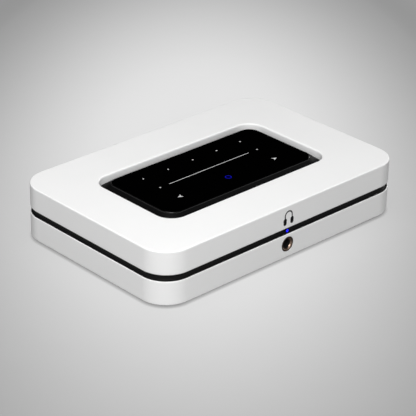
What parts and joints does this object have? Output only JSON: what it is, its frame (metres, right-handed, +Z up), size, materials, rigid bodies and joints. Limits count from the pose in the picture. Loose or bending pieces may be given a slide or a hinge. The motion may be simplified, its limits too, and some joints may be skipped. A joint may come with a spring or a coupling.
{
  "type": "bluetooth audio receiver",
  "caption": "Flat white desktop audio receiver: two rounded shells round a black groove, recessed black touch panel on top, front headphone socket, rear connector bay.",
  "frame": {"origin": "centre of the footprint, on the plane under the rubber feet", "axes": "+X along the width towards the right seen from the front, the front with the headphone socket faces -Y, +Z up"},
  "size_m": [0.22, 0.146, 0.0401],
  "materials": {
    "white_shell": "satin white, fine texture",
    "groove_black": "matt",
    "black_plastic": "satin",
    "black_glass": "polished, printed black behind",
    "circuit_board": "solder mask",
    "steel": "plain",
    "nickel": "bright",
    "bronze": "dark bronze plate",
    "brass": "bright",
    "rubber": "matt",
    "aluminium": "extruded",
    "chip_black": "matt",
    "clear_blue": "clear, lit blue",
    "led_white": "moulded",
    "flex": "polyimide",
    "cable_black": "sleeve",
    "cable_grey": "sleeve",
    "cable_brown": "sleeve",
    "cable_blue": "sleeve",
    "transformer_tape": "wound tape and ferrite",
    "capacitor_sleeve": "shrink sleeve",
    "ferrite": "enamelled winding",
    "fuse_glass": "clear",
    "barrier_film": "insulating sheet"
  },
  "bodies": {
    "housing": {"antenna": "flex", "antenna_lead": "cable_black", "base_screw_1": "steel", "base_screw_2": "steel", "base_screw_3": "steel", "base_screw_4": "steel", "bulk_capacitor": "capacitor_sleeve", "chassis_tray": "steel", "dc_harness": "cable_grey", "ethernet_socket": "steel", "foot_1": "rubber", "foot_2": "rubber", "foot_3": "rubber", "foot_4": "rubber", "front_board": "circuit_board", "front_ribbon": "flex", "fuse": "fuse_glass", "hdmi_socket": "steel", "headphone_jack": "black_plastic", "inlet_pin_line": "brass", "inlet_pin_neutral": "brass", "insulation_barrier": "barrier_film", "ir_in_socket": "black_plastic", "jack_ring": "bronze", "jack_tip_spring": "brass", "line_choke": "ferrite", "line_in_socket": "black_plastic", "lower_shell": "white_shell", "main_board": "circuit_board", "mains_inlet": "black_plastic", "mains_lead_line": "cable_brown", "mains_lead_neutral": "cable_blue", "optical_socket": "black_plastic", "panel_surround": "black_plastic", "power_board": "circuit_board", "processor": "chip_black", "processor_heatsink": "aluminium", "rca_block_analog": "black_plastic", "rca_block_digital": "black_plastic", "rca_coax": "nickel", "rca_left": "nickel", "rca_right": "nickel", "rca_sub": "nickel", "rear_panel": "black_plastic", "sensor_backplate": "steel", "sensor_ribbon": "flex", "setup_switch": "chip_black", "shadow_band": "groove_black", "status_led": "led_white", "status_light_pipe": "clear_blue", "touch_glass": "black_glass", "touch_sensor_board": "circuit_board", "transformer": "transformer_tape", "upper_shell": "white_shell", "usb_socket": "steel", "wireless_module": "steel"},
    "shutter": {"optical_shutter": "black_plastic"},
    "button": {"setup_button": "rubber"}
  },
  "joints": [
    {"name": "optical_shutter_hinge", "type": "hinge", "parent": "housing", "child": "shutter", "pos_m": [0.0255, 0.0636, 0.0211], "axis": [-1, 0, 0], "range_deg": [0, 80], "stiffness_Nm_per_rad": 0.00005, "springref_deg": -20.05},
    {"name": "setup_button_press", "type": "slide", "parent": "housing", "child": "button", "axis": [0, -1, 0], "range_m": [0, 0.0008], "stiffness_N_per_m": 20, "springref_m": -0.002}
  ]
}
